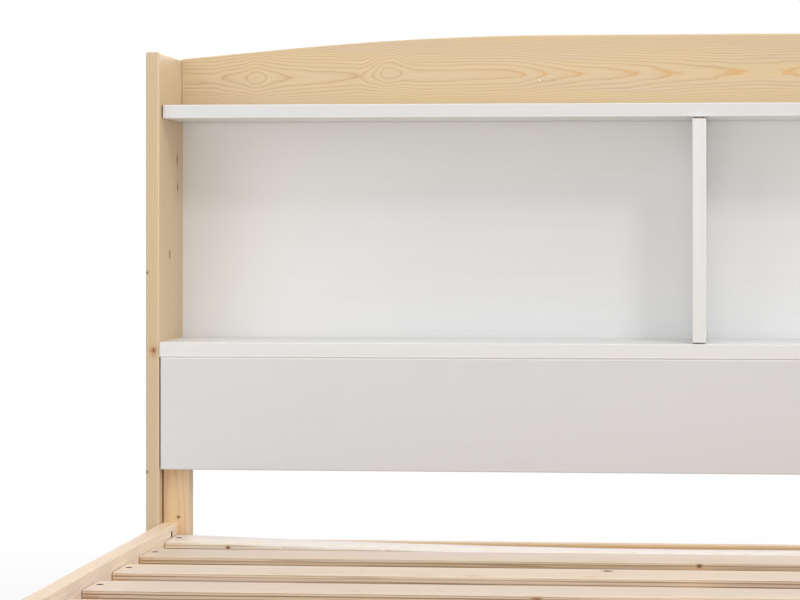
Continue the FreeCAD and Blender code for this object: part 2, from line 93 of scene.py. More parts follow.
def cloud(tree, place, stretch, seed=0.0, detail=2.0):
    """Soft blotches from 0 to 1, with so many to the metre along each axis."""
    spot = calc_vector(tree, "MULTIPLY_ADD", place, stretch, (seed, seed * 0.7, seed * 1.3))
    return add(tree, "TexNoise", {"Vector": spot, "Scale": 1.0, "Detail": detail}).outputs[0]


def along_grain(axis, along, over):
    """A value for each of the three axes, with its own value along the grain."""
    spread = [over, over, over]
    spread[axis] = along
    return tuple(spread)


def grained(tree, place, axis, along, over, seed, detail=2.0):
    """Soft blotches with so many to the metre along the grain and so many across it."""
    return cloud(tree, place, along_grain(axis, along, over), seed, detail)


def sway(tree, run, per_metre, seed):
    """A slow random swing between -0.5 and 0.5 along the length of a board."""
    spot = calc(tree, "MULTIPLY_ADD", run, per_metre, seed)
    swing = add(tree, "TexNoise", {"W": spot, "Scale": 1.0, "Detail": 1.0}, noise_dimensions="1D")
    return calc(tree, "SUBTRACT", swing.outputs[0], 0.5)


def mix(tree, share, first, second):
    """One colour laid over another by a share from 0 to 1."""
    node = add(tree, "Mix", {0: share, 6: first, 7: second}, data_type="RGBA")
    return node.outputs[2]


def opaque(colour):
    return (*colour, 1.0)


def scaled(tree, colour, share):
    """A colour made lighter or darker by a share."""
    return add(tree, "VectorMath", {0: colour, "Scale": share}, operation="SCALE").outputs[0]


def distance(tree, offset):
    return add(tree, "VectorMath", {0: offset}, operation="LENGTH").outputs["Value"]


def coat(tree, shader, colour, rough, height, strength, depth):
    """Gives a shader its colour, its roughness and the small relief of its skin."""
    relief = add(tree, "Bump", {"Strength": strength, "Distance": depth, "Height": height})
    tree.links.new(colour, shader.inputs["Base Color"])
    tree.links.new(rough, shader.inputs["Roughness"])
    tree.links.new(relief.outputs[0], shader.inputs["Normal"])


def new_finish(name):
    """A fresh material with its node tree, its shader and the place on the piece."""
    material = bpy.data.materials.new(name)
    material.use_nodes = True
    tree = material.node_tree
    place = add(tree, "TexCoord").outputs["Object"]
    return material, tree, tree.nodes["Principled BSDF"], place


def arris(tree, place, box, width):
    """1 on the edges of a squared board and 0 at the given width away from them."""
    low, high = box
    above = calc_vector(tree, "SUBTRACT", place, tuple(low))
    below = calc_vector(tree, "SUBTRACT", tuple(high), place)
    near = add(tree, "SeparateXYZ", {0: calc_vector(tree, "MINIMUM", above, below)}).outputs
    smaller = calc(tree, "MINIMUM", near[0], near[1])
    larger = calc(tree, "MAXIMUM", near[0], near[1])
    middle = calc(tree, "MAXIMUM", smaller, calc(tree, "MINIMUM", larger, near[2]))
    return fade(tree, middle, width, 0.0)


def growth_rings(tree, share):
    """How dark the wood is within one year's ring: slow through the summer, sharp at its end."""
    ramp = add(tree, "ValToRGB", {0: share})
    ramp.color_ramp.interpolation = "EASE"
    stops = ((0.0, 0.12), (0.32, 0.0), (0.68, 0.26), (0.89, 1.0), (1.0, 0.12))
    elements = ramp.color_ramp.elements
    for stop, dark in stops[1:-1]:
        elements.new(stop)
    for element, (stop, dark) in zip(elements, stops):
        element.position = stop
        element.color = (dark, dark, dark, 1.0)
    return ramp.outputs[0]


def pith_depth(tree, run, stops):
    """How far the pith lies behind the face along a board, from a few places and depths."""
    first, last = stops[0][0], stops[-1][0]
    most = max(depth for place, depth in stops)
    share = calc(tree, "DIVIDE", calc(tree, "SUBTRACT", run, first), last - first)
    node = add(tree, "FloatCurve", {"Value": share})
    curve = node.mapping.curves[0]
    for place, depth in stops[1:-1]:
        curve.points.new((place - first) / (last - first), depth / most)
    curve.points[0].location = (0.0, stops[0][1] / most)
    curve.points[-1].location = (1.0, stops[-1][1] / most)
    node.mapping.update()
    for before, point, after in zip(curve.points[:-2], curve.points[1:-1], curve.points[2:]):
        if point.location[1] < min(before.location[1], after.location[1]):
            point.handle_type = "AUTO_CLAMPED"
    node.mapping.update()
    return calc(tree, "MULTIPLY", node.outputs[0], most)


def pine(name, box, grain, heart, ring=0.005, pale=LACQUERED_PALE, late=LACQUERED_LATE, knots=(),
         depths=None, rise=None, roundness=2.0, closing=4.0, core=0.0, wander=0.03, lean=0.0,
         waver=0.55, uneven=0.8, contrast=1.0, faintest=0.45, glow=None, edge_late=None,
         edge_tint=None, lines=None, streaks=None, roughness=0.42, seed=0.0):
    """Pine sawn from a log: rings about a pith that wanders along the board, fibres and knots.

    The grain names the axes along, across and through the board, and the heart is the pith's place on the
    last two. Depths say how far the pith lies behind the face, rise lifts it in one place, and core makes the
    first ring wider. Glow tints the tips of the rings at the pith. The edge values and the lines are for the
    narrow faces, and streaks are mineral stains. A knot without a colour only bends the rings.
    """
    material, tree, shader, place = new_finish(name)
    axes = add(tree, "SeparateXYZ", {0: place}).outputs
    grain_axes = ["XYZ".index(letter) for letter in grain]
    run, across, deep = [axes[number] for number in grain_axes]

    def figure(along, over, part, detail=2.0):
        return grained(tree, place, grain_axes[0], along, over, seed + part, detail)

    # Distance from the pith, bent a little by the growth of the tree and pushed aside by its branches.
    side = calc(tree, "ADD", calc(tree, "SUBTRACT", across, heart[0]),
                calc(tree, "MULTIPLY", sway(tree, run, 2.3, seed), wander * 0.35))
    side = calc(tree, "MULTIPLY_ADD", run, -lean, side)
    if rise:
        top, half_length, height = rise
        off = calc(tree, "ABSOLUTE", calc(tree, "SUBTRACT", run, top))
        side = calc(tree, "MULTIPLY_ADD", fade(tree, off, half_length, 0.0), -height, side)
    if depths:
        depth = pith_depth(tree, run, depths)
    else:
        depth = calc(tree, "MULTIPLY", sway(tree, run, 1.7, seed + 11.0), wander)
    behind = calc(tree, "ADD", calc(tree, "SUBTRACT", deep, heart[1]), depth)
    powers = [calc(tree, "POWER", calc(tree, "ABSOLUTE", reach), roundness) for reach in (side, behind)]
    radius = calc(tree, "POWER", calc(tree, "ADD", *powers), 1.0 / roundness)
    warp = calc(tree, "SUBTRACT", figure(4.0, 24.0, 3.0), 0.5)
    radius = calc(tree, "MULTIPLY_ADD", warp, ring * waver, radius)
    ripple = calc(tree, "SUBTRACT", figure(26.0, 110.0, 17.0), 0.5)
    radius = calc(tree, "MULTIPLY_ADD", ripple, ring * waver * 0.45, radius)
    near_knots = []
    for x, y, z, size, long, colour in knots:
        offset = calc_vector(tree, "SUBTRACT", place, (x, y, z))
        away = distance(tree, calc_vector(tree, "DIVIDE", offset, along_grain(grain_axes[0], size * long, size)))
        radius = calc(tree, "MULTIPLY_ADD", fade(tree, away, 3.2, 0.4), size * 0.8, radius)
        grit = 0.75 / size
        ragged = cloud(tree, place, (grit, grit, grit), seed + x, detail=3.0)
        away = calc(tree, "ADD", away, calc(tree, "MULTIPLY", calc(tree, "SUBTRACT", ragged, 0.5), 1.1))
        near_knots.append((away, colour))
    turns = calc(tree, "DIVIDE", radius, ring)
    turns = calc(tree, "MULTIPLY", turns, calc(tree, "MULTIPLY_ADD", radius, closing, 1.0))
    turns = calc(tree, "MULTIPLY_ADD", sway(tree, radius, 90.0, seed), uneven, turns)
    turns = calc(tree, "MAXIMUM", calc(tree, "SUBTRACT", turns, core), 0.0)
    rings = growth_rings(tree, calc(tree, "FRACT", turns))

    # Colour: the rings show more in some places than in others, and fine fibres run through all of it.
    shown = fade(tree, figure(1.6, 12.0, 5.0), 0.3, 0.7, faintest * contrast, contrast)
    normal = add(tree, "SeparateXYZ", {0: add(tree, "NewGeometry").outputs["Normal"]}).outputs
    edge_on = fade(tree, calc(tree, "ABSOLUTE", normal[grain_axes[2]]), 0.9, 0.4)
    dark = mix(tree, edge_on, opaque(late), opaque(edge_late)) if edge_late else opaque(late)
    if glow:
        amber, off_pith, stretch = glow
        amber_share = fade(tree, calc(tree, "ABSOLUTE", side), *off_pith)
        amber_share = calc(tree, "MULTIPLY", amber_share, fade(tree, run, *stretch))
        dark = mix(tree, amber_share, dark, opaque(amber))
    colour = mix(tree, calc(tree, "MULTIPLY", rings, shown), opaque(pale), dark)
    fibre = figure(9.0, 620.0, 7.0, detail=3.0)
    tone = figure(0.9, 7.0, 9.0)
    light = calc(tree, "MULTIPLY_ADD", fibre, 0.16, calc(tree, "MULTIPLY_ADD", tone, 0.16, 0.84))
    warmth = fade(tree, figure(2.6, 34.0, 23.0), 0.35, 0.65)
    cast = mix(tree, warmth, opaque(YELLOW_CAST), opaque(PINK_CAST))
    colour = calc_vector(tree, "MULTIPLY", colour, scaled(tree, cast, light))
    if edge_tint:
        tint = mix(tree, edge_on, opaque(UNCHANGED), opaque(edge_tint))
        colour = calc_vector(tree, "MULTIPLY", colour, tint)
    if streaks:
        most, brown, black = streaks
        share = calc(tree, "MULTIPLY_ADD", edge_on, 0.75 * most, 0.25 * most)
        stain = fade(tree, figure(1.6, 330.0, 13.0, detail=1.0), 0.55, 0.70)
        colour = mix(tree, calc(tree, "MULTIPLY", stain, share), colour, opaque(brown))
        dash = fade(tree, figure(7.0, 520.0, 19.0, detail=0.0), 0.68, 0.75)
        colour = mix(tree, calc(tree, "MULTIPLY", dash, share), colour, opaque(black))
    if lines:
        drops, line_brown, line_width, swings = lines
        level = calc(tree, "SUBTRACT", box[1][grain_axes[2]], deep)
        level = calc(tree, "MULTIPLY_ADD", sway(tree, run, 2.6, seed + 31.0), swings[0], level)
        level = calc(tree, "MULTIPLY_ADD", sway(tree, run, 21.0, seed + 37.0), swings[1], level)
        drawn = 0.0
        for drop in drops:
            off = calc(tree, "ABSOLUTE", calc(tree, "SUBTRACT", level, drop))
            drawn = calc(tree, "MAXIMUM", drawn, fade(tree, off, *line_width))
        strong = fade(tree, figure(2.4, 180.0, 29.0), 0.35, 0.6, 0.35, 0.95)
        drawn = calc(tree, "MULTIPLY", calc(tree, "MULTIPLY", drawn, edge_on), strong)
        colour = mix(tree, drawn, colour, opaque(line_brown))

    # A knot is stained wood, an amber rim, its own brown and a dark middle, each within the one before.
    for away, brown in near_knots:
        if not brown:
            continue
        amber_rim = tuple((part + brown_part) / 2 for part, brown_part in zip(late, brown))
        dark_middle = tuple(0.45 * part for part in brown)
        for (outer, inner, share), layer in zip(knot_layers, (late, amber_rim, brown, dark_middle)):
            colour = mix(tree, fade(tree, away, outer, inner, 0.0, share), colour, opaque(layer))
    end_grain = fade(tree, calc(tree, "ABSOLUTE", normal[grain_axes[0]]), 0.6, 0.95, 0.0, 0.25)
    colour = mix(tree, end_grain, colour, opaque(late))
    # The arrises are painted paler: partly rubbed wood, partly a painted highlight where the rounded edges catch
    # the light.
    rubbed = calc(tree, "MULTIPLY", arris(tree, place, box, arris_width), arris_share)
    colour = mix(tree, rubbed, colour, opaque(RUBBED_AND_HIGHLIT_PALE))

    # The late wood stands a hair proud and takes the polish better than the wood between.
    height = calc(tree, "MULTIPLY_ADD", rings, 0.6, fibre)
    polish = calc(tree, "MULTIPLY_ADD", rings, -0.06, calc(tree, "MULTIPLY_ADD", fibre, 0.16, roughness - 0.05))
    coat(tree, shader, colour, polish, height, 0.16, 0.0006)
    return material


def dress(node, material):
    """Gives a modelled solid its finish."""
    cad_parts[node].material_slots[0].material = material


# Each knot has a place, a size, how many times longer it is along the grain, and a colour.
panel_knots = {
    "left_side_panel": (
        (-0.712, 1.0058, 0.8310, 0.0048, 1.5, KNOT_BROWN),
        (-0.712, 1.0089, 0.7929, 0.0042, 1.3, KNOT_BROWN),
        (-0.712, 0.9589, 0.7019, 0.0042, 1.4, KNOT_BROWN),
        (-0.7195, 0.8945, 0.5755, 0.0046, 1.3, KNOT_RED),
        (-0.7284, 0.8950, 0.6783, 0.0020, 1.2, KNOT_BROWN),
        (-0.7284, 0.8950, 0.4147, 0.0020, 1.2, KNOT_BROWN),
        (-0.730, 0.9800, 0.3300, 0.0080, 1.4, KNOT_RED),
        (-0.730, 1.0200, 0.7600, 0.0060, 1.3, KNOT_BROWN),
    ),
    "right_side_panel": (
        (0.712, 0.9900, 0.6600, 0.0050, 1.4, KNOT_BROWN),
        (0.730, 0.9400, 0.8200, 0.0090, 1.3, KNOT_RED),
        (0.730, 1.0150, 0.3900, 0.0065, 1.4, KNOT_BROWN),
        (0.722, 0.8945, 0.7400, 0.0040, 1.2, KNOT_RED),
    ),
}
panel_heart_off = 0.020
panel_heart_away = 0.075
for number, (node, knots) in enumerate(panel_knots.items()):
    low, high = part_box(node)
    middle = (low + high) / 2
    heart = (middle.y + panel_heart_off, middle.x + panel_heart_away * (1 - 2 * number))
    dress(node, pine(f"clear_pine_{node}", (low, high), "ZYX", heart, ring=0.0045, knots=knots,
                     wander=0.05, contrast=0.62, seed=2.0 + 5.0 * number))


# Crest rail.
# One wide board of clear-lacquered pine, band-sawn to a long arch and fixed between the side panels.
# It is cut near the heart of the tree, so its rings close into an eye, a swirl and a row of arrow heads.
low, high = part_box("crest_rail")

# Places along the board, each with the depth of the pith behind its face there.
crest_depths = (
    (-0.7150, 0.0170), (-0.6720, 0.0166), (-0.6559, 0.0143), (-0.6235, 0.0090), (-0.6157, 0.0038),
    (-0.6080, 0.0006), (-0.5997, 0.0038), (-0.5915, 0.0090), (-0.5460, 0.0143), (-0.5060, 0.0160),
    (-0.4800, 0.0173), (-0.4668, 0.0181), (-0.4631, 0.0184), (-0.4594, 0.0176), (-0.4477, 0.0143),
    (-0.4367, 0.0090), (-0.4305, 0.0038), (-0.4243, 0.0006), (-0.4153, 0.0038), (-0.4063, 0.0090),
    (-0.3926, 0.0113), (-0.3400, 0.0115), (-0.2620, 0.0128), (-0.2412, 0.0143), (-0.2115, 0.0189),
    (-0.1628, 0.0230), (-0.0903, 0.0266), (-0.0307, 0.0301), (0.1000, 0.0324), (0.2700, 0.0227),
    (0.4200, 0.0123), (0.4700, 0.0055), (0.5200, 0.0008), (0.5600, 0.0055), (0.6000, 0.0123),
    (0.7150, 0.0236),
)
crest_swirls = ((-0.4200, low.y, 0.9550, 0.0042, 1.3, None), (0.3400, low.y, 0.9540, 0.0055, 1.3, None))
crest_pith_height = 0.9475
crest_rise = (-0.4200, 0.042, 0.0060)
CREST_PALE = (0.672, 0.513, 0.314)
CREST_AMBER = (0.640, 0.360, 0.125)
amber_off_pith = (0.009, 0.001)
amber_stretch = (-0.36, -0.26)
crest_pine = pine("clear_pine_crest_rail", (low, high), "XZY", (crest_pith_height, low.y), ring=0.0085,
                  pale=CREST_PALE, knots=crest_swirls, depths=crest_depths, rise=crest_rise, roundness=1.7,
                  closing=26.0, core=0.42, wander=0.006, lean=0.006, waver=0.7, uneven=0.25, contrast=0.88,
                  faintest=0.9, glow=(CREST_AMBER, amber_off_pith, amber_stretch), seed=4.0)

# A small pale plug with a dark rim closes a hole in its face.
plug_spot = (-0.2175, low.y, 0.9390)
plug_edge = (0.0023, 0.0018)
plug_rim_outside = (0.0030, 0.0024)
plug_rim_inside = (0.0017, 0.0022)
PLUG_PALE = (0.830, 0.690, 0.490)
PLUG_RIM = (0.330, 0.190, 0.085)
tree = crest_pine.node_tree
shader = tree.nodes["Principled BSDF"]
place = add(tree, "TexCoord").outputs["Object"]
bare = shader.inputs["Base Color"].links[0].from_socket
away = distance(tree, calc_vector(tree, "SUBTRACT", place, plug_spot))
rim = calc(tree, "MULTIPLY", fade(tree, away, *plug_rim_outside), fade(tree, away, *plug_rim_inside))
plugged = mix(tree, fade(tree, away, *plug_edge), bare, opaque(PLUG_PALE))
plugged = mix(tree, calc(tree, "MULTIPLY", rim, 0.5), plugged, opaque(PLUG_RIM))
tree.links.new(plugged, shader.inputs["Base Color"])
dress("crest_rail", crest_pine)


# White boards of the headboard.
# Two shelves, a divider, a lower front panel and a thin back, sprayed with satin white paint.
# The grain of the board telegraphs through the paint as faint long streaks, most of all on the edges.
WORN_BROWN = (0.700, 0.600, 0.460)
worn_width = 0.0022
worn_share = 0.35
strip_ease = 0.0004


def white_paint(name, box, grain, white, seed, light_strips=()):
    """Satin paint on board: long faint streaks, a slight orange-peel, thin paint on the arrises, and strips of
    painted light and shade.

    A strip paints light where its share is above 1 and shade where it is below. It has a bottom, a top, a reach
    behind the board's front and the share of the colour that it keeps.
    """
    material, tree, shader, place = new_finish(name)
    axes = add(tree, "SeparateXYZ", {0: place}).outputs
    run = "XYZ".index(grain)
    streak = grained(tree, place, run, 3.0, 240.0, seed, detail=3.0)
    drift = grained(tree, place, run, 0.8, 2.6, seed + 2.0)
    peel = cloud(tree, place, (420.0, 420.0, 420.0), seed + 4.0, detail=1.0)
    thin = tuple(0.975 * part for part in white)
    cool = (0.985 * white[0], 0.99 * white[1], white[2])
    colour = mix(tree, fade(tree, streak, 0.35, 0.75), opaque(white), opaque(thin))
    colour = mix(tree, fade(tree, drift, 0.3, 0.7, 0.0, 0.4), colour, opaque(cool))
    worn = calc(tree, "MULTIPLY", arris(tree, place, box, worn_width), fade(tree, streak, 0.45, 0.8))
    colour = mix(tree, calc(tree, "MULTIPLY", worn, worn_share), colour, opaque(WORN_BROWN))
    # Each strip scales the colour: up for painted light, down for painted shade.
    for bottom, top, reach, share in light_strips:
        above = fade(tree, axes[2], bottom - strip_ease, bottom)
        below = fade(tree, axes[2], top + strip_ease, top)
        ahead = fade(tree, axes[1], box[0].y + reach + strip_ease, box[0].y + reach)
        painted_strip_mask = calc(tree, "MULTIPLY", calc(tree, "MULTIPLY", above, below), ahead)
        colour = scaled(tree, colour, calc(tree, "MULTIPLY_ADD", painted_strip_mask, share - 1.0, 1.0))
    height = calc(tree, "MULTIPLY_ADD", streak, 0.7, calc(tree, "MULTIPLY", peel, 0.35))
    satin = calc(tree, "MULTIPLY_ADD", streak, 0.16, calc(tree, "MULTIPLY_ADD", drift, 0.10, 0.30))
    coat(tree, shader, colour, satin, height, 0.12, 0.0005)
    return material


SHELF_WHITE = (0.802, 0.805, 0.800)
# The whites differ board by board as painted light and shade: the top shelf and the lower front panel are painted
# darker than the shelves' white, and the back panel lighter.
white_boards = {
    "top_shelf": ("X", (0.735, 0.740, 0.733)),
    "middle_shelf": ("X", SHELF_WHITE),
    "centre_divider": ("Z", SHELF_WHITE),
    "back_panel": ("X", (0.850, 0.852, 0.853)),
    "lower_front_panel": ("X", (0.716, 0.715, 0.721)),
}

# Painted light and shade in thin strips. The lower edges and undersides of the shelves and the top of the lower
# panel are painted lighter, a painted highlight that lifts their shade. A thin line of painted shadow runs along
# the back panel under the top shelf.
top_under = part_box("top_shelf")[0].z
middle_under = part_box("middle_shelf")[0].z
painted_light_strips = {
    "top_shelf": ((top_under - 0.001, top_under + 0.0020, 0.2, 1.12),),
    "middle_shelf": ((middle_under - 0.001, middle_under + 0.0022, 0.2, 1.12),),
    "back_panel": ((top_under - 0.0008, top_under + 0.002, 0.001, 0.82),),
    "lower_front_panel": ((middle_under - 0.0022, middle_under + 0.001, 0.002, 1.16),),
}
for number, (node, (grain, white)) in enumerate(white_boards.items()):
    dress(node, white_paint(f"white_paint_{node}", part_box(node), grain, white, 3.0 + 4.0 * number,
                            painted_light_strips.get(node, ())))


# Posts of the head and the foot.
# Square uprights of sanded pine without lacquer, bolted to the ends of the rails.
# Their long edges are rounded, and the end grain shows on top of the foot posts.
RAW_PALE = (0.830, 0.640, 0.425)
RAW_LATE = (0.680, 0.465, 0.275)
POST_PALE = (0.778, 0.572, 0.346)
POST_LATE = (0.643, 0.417, 0.225)
post_knots = {
    "left_head_post": ((-0.6900, 0.9135, 0.3533, 0.0022, 1.0, KNOT_BROWN),),
    "right_head_post": ((0.690, 0.9135, 0.3900, 0.0050, 1.3, KNOT_RED),),
    "left_foot_post": ((-0.700, -1.0605, 0.2000, 0.0060, 1.3, KNOT_RED),),
    "right_foot_post": ((0.688, -1.0605, 0.1200, 0.0050, 1.4, KNOT_BROWN),),
}
post_heart_in = 0.012
post_heart_behind = 0.030
post_heart_step = 0.006
for number, (node, knots) in enumerate(post_knots.items()):
    low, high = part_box(node)
    heart = (low.x + post_heart_in, low.y - post_heart_behind - post_heart_step * number)
    dress(node, pine(f"raw_pine_{node}", (low, high), "ZXY", heart, ring=0.0034, pale=POST_PALE, late=POST_LATE,
                     knots=knots, wander=0.03, contrast=0.7, roughness=0.58, seed=21.0 + 3.0 * number))


# Rails.
# Two side rails and a foot rail of sanded pine hold the slats, and a cross rail ties the head posts.
# The side rails carry barrel-nut holes near both ends; every top edge is sanded round.
rail_grain = {
    "left_side_rail": "YZX", "right_side_rail": "YZX", "foot_rail": "XZY", "head_cross_rail": "XZY",
}
# The side rails' pine is partly their own pale wood and partly painted light for their bright inner faces. The
# head cross rail's darker orange is painted shade, its look in the shade under the headboard.
LIT_PALE_RAIL = ((0.890, 0.746, 0.620), (0.790, 0.620, 0.475))
RAIL_TOP_TINT = (0.985, 0.93, 0.84)
shaded_rail_tones = {"head_cross_rail": ((0.735, 0.485, 0.260), (0.690, 0.440, 0.225))}
rail_knots = {
    "left_side_rail": (
        (-0.712, 0.310, 0.290, 0.011, 1.3, KNOT_RED),
        (-0.692, -0.420, 0.260, 0.009, 1.4, KNOT_BROWN),
    ),
    "right_side_rail": (
        (0.712, -0.460, 0.300, 0.010, 1.3, KNOT_RED),
        (0.712, 0.520, 0.250, 0.007, 1.4, KNOT_BROWN),
    ),
    "foot_rail": (
        (-0.310, -1.0565, 0.300, 0.010, 1.4, KNOT_RED),
        (0.400, -1.0565, 0.245, 0.006, 1.3, KNOT_BROWN),
    ),
}
rail_heart_up = 0.02
rail_heart_behind = 0.055
for number, (node, grain) in enumerate(rail_grain.items()):
    low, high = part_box(node)
    middle = (low + high) / 2
    heart = (middle.z + rail_heart_up, middle["XYZ".index(grain[2])] - rail_heart_behind)
    pale, late = shaded_rail_tones.get(node, LIT_PALE_RAIL)
    dress(node, pine(f"raw_pine_{node}", (low, high), grain, heart, ring=0.0052, pale=pale, late=late,
                     edge_tint=RAIL_TOP_TINT, knots=rail_knots.get(node, ()), wander=0.06, contrast=0.75,
                     roughness=0.46, seed=40.0 + 6.0 * number))


# Slat cleats.
# Square strips of plain pine, glued and nailed along the inner faces of the side rails.
# The ends of the slats lie on them.
cleat_nodes = ("left_slat_cleat", "right_slat_cleat")
cleat_heart_below = 0.03
cleat_heart_beside = 0.02
for number, node in enumerate(cleat_nodes):
    low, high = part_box(node)
    heart = (low.z - cleat_heart_below, low.x - cleat_heart_beside)
    dress(node, pine(f"raw_pine_{node}", (low, high), "YZX", heart, ring=0.004, pale=RAW_PALE, late=RAW_LATE,
                     contrast=0.7, roughness=0.62, seed=61.0 + 4.0 * number))


# Slats.
# Fourteen boards of pale knotty pine, planed but not finished, laid across the bed on the cleats.
# Each is cut from another part of the log. Dark mineral streaks run along some, and the first one is bowed.
SLAT_PALE = (0.798, 0.664, 0.528)
# The first slat is painted paler and greyer than the others: painted light, the glancing light and sheen from
# behind on its top.
FIRST_SLAT_LIT_PALE = (0.880, 0.808, 0.742)
SLAT_LATE = (0.650, 0.450, 0.270)
SLAT_EDGE_LATE = (0.600, 0.420, 0.255)
SLAT_EDGE_TINT = (1.0, 0.96, 0.90)
KNOT_BLACK = (0.050, 0.026, 0.014)
STREAK_BROWN = (0.470, 0.290, 0.125)
STREAK_BLACK = (0.170, 0.098, 0.052)
EDGE_LINE_BROWN = (0.290, 0.168, 0.085)
edge_line_drops = (0.0010, 0.0044, 0.0087, 0.0132)
edge_line_width = (0.0011, 0.0003)
edge_line_swings = (0.0016, 0.0005)
edge_lines = (edge_line_drops, EDGE_LINE_BROWN, edge_line_width, edge_line_swings)
slat_tones = {2: 0.90, 3: 1.05}
slat_knots = {
    1: ((-0.6082, 0.8365, 0.3237, 0.0022, 1.2, KNOT_BROWN),),
    2: ((0.0009, 0.6958, 0.3260, 0.0030, 1.4, KNOT_BROWN),),
    3: ((-0.1070, 0.6150, 0.3300, 0.0058, 1.0, KNOT_BLACK),),
    4: ((-0.1776, 0.4144, 0.3265, 0.0028, 2.4, KNOT_RED),),
}
slat_count = sum(node.startswith("slat_") and node[5:].isdigit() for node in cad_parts)
for number in range(1, slat_count + 1):
    node = f"slat_{number:02d}"
    low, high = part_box(node)
    draw = random.Random(300 + number)
    middle = (low.y + high.y) / 2
    heart = (middle + draw.uniform(-0.03, 0.03), low.z - draw.uniform(0.015, 0.06))
    tone = slat_tones.get(number, draw.uniform(0.95, 1.05))
    pale = tuple(tone * part for part in SLAT_PALE) if number > 1 else FIRST_SLAT_LIT_PALE
    loose_knots = []
    for _ in range(2):
        spot = (draw.uniform(-0.6, 0.6), middle + draw.uniform(-0.028, 0.028), high.z)
        size = draw.uniform(0.003, 0.008)
        long = draw.uniform(1.1, 1.6)
        loose_knots.append((*spot, size, long, draw.choice((KNOT_BROWN, KNOT_RED))))
    dress(node, pine(f"raw_pine_{node}", (low, high), "XYZ", heart, ring=draw.uniform(0.0030, 0.0044), pale=pale,
                     late=SLAT_LATE, edge_late=SLAT_EDGE_LATE, edge_tint=SLAT_EDGE_TINT,
                     knots=slat_knots.get(number, loose_knots), lines=edge_lines, wander=0.03,
                     contrast=draw.uniform(0.6, 0.9), roughness=0.48, seed=80.0 + 7.0 * number,
                     streaks=(draw.uniform(0.35, 0.6), STREAK_BROWN, STREAK_BLACK)))


# Slat screws.
# Countersunk screws of zinc-plated steel with a cross recess, driven flush through the slats into the cleats.
# One screw is turned and punched, and its copies stand at both ends of every slat.
def metal(name, colour, roughness, seed, metallic=1.0, specular=0.5):
    """Plated steel: a thin grey bloom and fine turning marks over a bright ground."""
    material, tree, shader, place = new_finish(name)
    bloom = cloud(tree, place, (160.0, 160.0, 160.0), seed, detail=3.0)
    marks = cloud(tree, place, (900.0, 900.0, 2600.0), seed + 3.0, detail=1.0)
    dull = tuple(0.62 * part for part in colour)
    ground = mix(tree, fade(tree, bloom, 0.35, 0.75), opaque(colour), opaque(dull))
    rough = calc(tree, "MULTIPLY_ADD", bloom, 0.22, calc(tree, "MULTIPLY_ADD", marks, 0.10, roughness - 0.16))
    coat(tree, shader, ground, rough, marks, 0.2, 0.0001)
    shader.inputs["Metallic"].default_value = metallic
    shader.inputs["Specular IOR Level"].default_value = specular
    return material


def pick(piece, kind, test):
    """In edit mode, selects the edges or faces whose middle and direction pass a test."""
    work = bmesh.from_edit_mesh(piece.data)
    for group in (work.verts, work.edges, work.faces):
        for item in group:
            item.select_set(False)
    work.select_mode = {kind[:-1].upper()}
    for item in getattr(work, kind):
        if kind == "faces":
            found = test(item.calc_center_median(), item.normal)
        else:
            first, second = item.verts
            found = test((first.co + second.co) / 2, (second.co - first.co).normalized())
        if found:
            item.select_set(True)
    work.select_flush_mode()
    bmesh.update_edit_mesh(piece.data)


def cut_with(piece, tool):
    """Takes a tool's shape out of a piece and throws the tool away."""
    cutter = piece.modifiers.new("cut", "BOOLEAN")
    cutter.operation = "DIFFERENCE"
    cutter.solver = "EXACT"
    cutter.object = tool
    bpy.ops.object.select_all(action="DESELECT")
    bpy.context.view_layer.objects.active = piece
    piece.select_set(True)
    bpy.ops.object.modifier_apply(modifier=cutter.name)
    bpy.data.objects.remove(tool)


def copies(pattern, name, places):
    """One piece made of a copy of the pattern at each place, and the pattern put away."""
    made = []
    for place in places:
        twin = pattern.copy()
        twin.data = pattern.data.copy()
        twin.data.transform(place)
        bpy.context.scene.collection.objects.link(twin)
        made.append(twin)
    bpy.ops.object.select_all(action="DESELECT")
    for twin in made:
        twin.select_set(True)
    bpy.context.view_layer.objects.active = made[0]
    bpy.ops.object.join()
    bpy.data.objects.remove(pattern)
    piece = bpy.context.object
    piece.name = name
    bpy.ops.object.shade_smooth_by_angle(angle=math.radians(35))
    bpy.ops.object.select_all(action="DESELECT")
    return piece


def finish_piece(piece, body, material, node):
    """Gives a new piece its finish and its body, and puts it in the place of a modelled solid."""
    piece.data.materials.clear()
    piece.data.materials.append(material)
    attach(piece, body)
    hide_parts(node)


screw_head_radius = 0.00425
screw_head_height = 0.0026
screw_shank_radius = 0.0020
screw_length = 0.034
screw_point = 0.0034
screw_point_share = 0.15
screw_off_middle = 0.007
recess_arm = 0.0050
recess_width = 0.0010
recess_depth = 0.0019
bpy.ops.mesh.primitive_cylinder_add(vertices=24, radius=screw_head_radius, depth=screw_head_height,
                                    location=(0.0, 0.0, -screw_head_height / 2))
screw = bpy.context.object
bpy.ops.object.transform_apply(location=True)
bpy.ops.object.mode_set(mode="EDIT")
pick(screw, "faces", lambda middle, facing: facing.z < -0.9)
taper = screw_shank_radius / screw_head_radius
bpy.ops.transform.resize(value=(taper, taper, 1.0))
screw_shank = screw_length - screw_head_height - screw_point
bpy.ops.mesh.extrude_region_move(TRANSFORM_OT_translate={"value": (0.0, 0.0, -screw_shank)})
bpy.ops.mesh.extrude_region_move(TRANSFORM_OT_translate={"value": (0.0, 0.0, -screw_point)})
bpy.ops.transform.resize(value=(screw_point_share, screw_point_share, 1.0))
bpy.ops.object.mode_set(mode="OBJECT")
for size in ((recess_arm, recess_width), (recess_width, recess_arm)):
    bpy.ops.mesh.primitive_cube_add(size=1.0)
    punch = bpy.context.object
    punch.scale = (size[0], size[1], 2 * recess_depth)
    bpy.ops.object.transform_apply(scale=True)
    cut_with(screw, punch)
screw_places = []
cleats = [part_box(node) for node in cleat_nodes]
